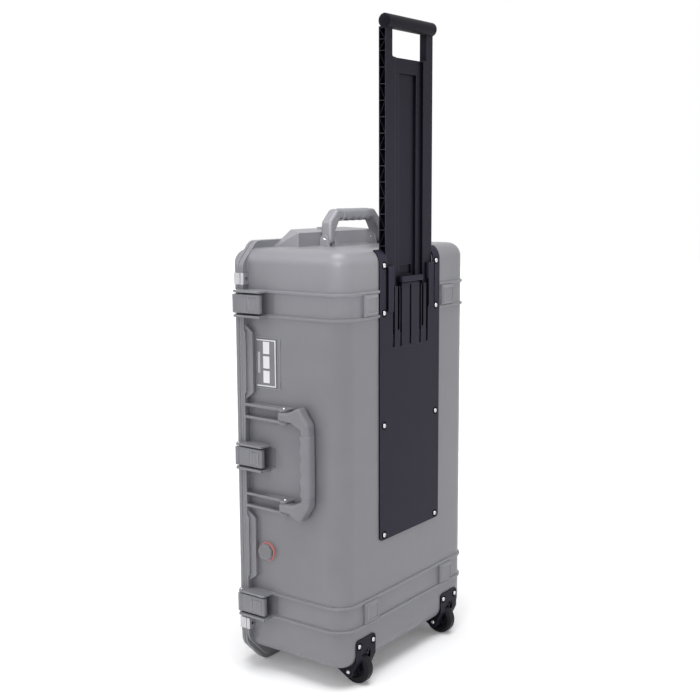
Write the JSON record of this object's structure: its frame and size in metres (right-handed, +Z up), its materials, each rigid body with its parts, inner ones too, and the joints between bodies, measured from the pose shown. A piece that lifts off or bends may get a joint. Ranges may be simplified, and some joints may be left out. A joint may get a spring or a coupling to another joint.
{
  "type": "rolling flight case",
  "caption": "Upright moulded grey hard case on wheels with a hinged lid, latches, folding carry handles and a black trolley handle that slides out of the back.",
  "frame": {"origin": "on the floor, below the middle of the whole case", "axes": "+Z up along the trolley handle, -Y out of the trolley face, +Y out of the lid, -X out of the latch side"},
  "size_m": [0.4932, 0.2834, 1.252],
  "materials": {
    "case_plastic": "fine moulded texture, satin",
    "trolley_plastic": "fine moulded texture, satin",
    "trolley_grip": "matte overmould",
    "handle_rubber": "matte overmould",
    "wheel_plastic": "smooth moulded",
    "tyre": "smooth solid tread",
    "steel": "bright stainless",
    "gasket": "matte",
    "label": "blank card, satin",
    "valve_ring": "satin",
    "valve_cap": "satin"
  },
  "bodies": {
    "case": {"base_shell": "case_plastic", "hinge_pin_lower": "steel", "hinge_pin_middle": "steel", "hinge_pin_upper": "steel", "trolley_cover": "trolley_plastic", "cover_screw_1": "steel", "cover_screw_2": "steel", "cover_screw_3": "steel", "cover_screw_4": "steel", "cover_screw_5": "steel", "cover_screw_6": "steel", "cover_screw_7": "steel", "cover_screw_8": "steel", "wheel_bracket_left": "trolley_plastic", "wheel_bracket_right": "trolley_plastic", "axle_left": "steel", "axle_right": "steel", "bracket_screw_left_outer": "steel", "bracket_screw_left_inner": "steel", "bracket_screw_right_outer": "steel", "bracket_screw_right_inner": "steel", "front_handle_pin_first": "steel", "front_handle_pin_second": "steel", "top_handle_pin_first": "steel", "top_handle_pin_second": "steel", "lock_plate_base_lower": "steel", "lock_plate_base_upper": "steel", "label_card": "label", "valve_ring": "valve_ring", "valve_cap": "valve_cap"},
    "lid": {"lid_shell": "case_plastic", "lid_gasket": "gasket", "lock_plate_lid_lower": "steel", "lock_plate_lid_upper": "steel", "latch_pin_lower": "steel", "latch_pin_middle": "steel", "latch_pin_upper": "steel"},
    "latch_lower": {"latch_lever_lower": "case_plastic"},
    "latch_middle": {"latch_lever_middle": "case_plastic"},
    "latch_upper": {"latch_lever_upper": "case_plastic"},
    "button_lower": {"latch_button_lower": "case_plastic"},
    "button_middle": {"latch_button_middle": "case_plastic"},
    "button_upper": {"latch_button_upper": "case_plastic"},
    "trolley": {"trolley_plate": "trolley_plastic", "trolley_grip": "trolley_grip"},
    "catch": {"trolley_catch": "trolley_plastic"},
    "wheel_left": {"wheel_hub_left": "wheel_plastic", "wheel_tyre_left": "tyre"},
    "wheel_right": {"wheel_hub_right": "wheel_plastic", "wheel_tyre_right": "tyre"},
    "front_handle": {"front_handle_frame": "case_plastic", "front_handle_grip": "handle_rubber"},
    "top_handle": {"top_handle_frame": "case_plastic", "top_handle_grip": "handle_rubber"}
  },
  "joints": [
    {"name": "lid_hinge", "type": "hinge", "parent": "case", "child": "lid", "pos_m": [0.2396, 0.09775, 0.434], "axis": [0, 0, -1], "range_deg": [0, 105]},
    {"name": "latch_lower_hinge", "type": "hinge", "parent": "lid", "child": "latch_lower", "pos_m": [-0.2388, 0.1049, 0.1415], "axis": [0, 0, -1], "range_deg": [0, 100]},
    {"name": "latch_middle_hinge", "type": "hinge", "parent": "lid", "child": "latch_middle", "pos_m": [-0.2388, 0.1049, 0.434], "axis": [0, 0, -1], "range_deg": [0, 100]},
    {"name": "latch_upper_hinge", "type": "hinge", "parent": "lid", "child": "latch_upper", "pos_m": [-0.2388, 0.1049, 0.7265], "axis": [0, 0, -1], "range_deg": [0, 100]},
    {"name": "latch_lower_button", "type": "slide", "parent": "latch_lower", "child": "button_lower", "axis": [1, 0, 0], "range_m": [0, 0.002], "stiffness_N_per_m": 800},
    {"name": "latch_middle_button", "type": "slide", "parent": "latch_middle", "child": "button_middle", "axis": [1, 0, 0], "range_m": [0, 0.002], "stiffness_N_per_m": 800},
    {"name": "latch_upper_button", "type": "slide", "parent": "latch_upper", "child": "button_upper", "axis": [1, 0, 0], "range_m": [0, 0.002], "stiffness_N_per_m": 800},
    {"name": "trolley_slide", "type": "slide", "parent": "case", "child": "trolley", "axis": [0, 0, 1], "range_m": [-0.39, 0]},
    {"name": "catch_hinge", "type": "hinge", "parent": "case", "child": "catch", "pos_m": [0, -0.12975, 0.639], "axis": [1, 0, 0], "range_deg": [0, 3], "stiffness_Nm_per_rad": 6},
    {"name": "wheel_left_spin", "type": "hinge", "parent": "case", "child": "wheel_left", "pos_m": [-0.1505, -0.11075, 0.031], "axis": [1, 0, 0], "continuous": true},
    {"name": "wheel_right_spin", "type": "hinge", "parent": "case", "child": "wheel_right", "pos_m": [0.1505, -0.11075, 0.031], "axis": [1, 0, 0], "continuous": true},
    {"name": "front_handle_fold", "type": "hinge", "parent": "case", "child": "front_handle", "pos_m": [-0.2317, -0.00325, 0.434], "axis": [0, 0, -1], "range_deg": [0, 95]},
    {"name": "top_handle_fold", "type": "hinge", "parent": "case", "child": "top_handle", "pos_m": [0, 0.00775, 0.8417], "axis": [1, 0, 0], "range_deg": [0, 90]}
  ]
}
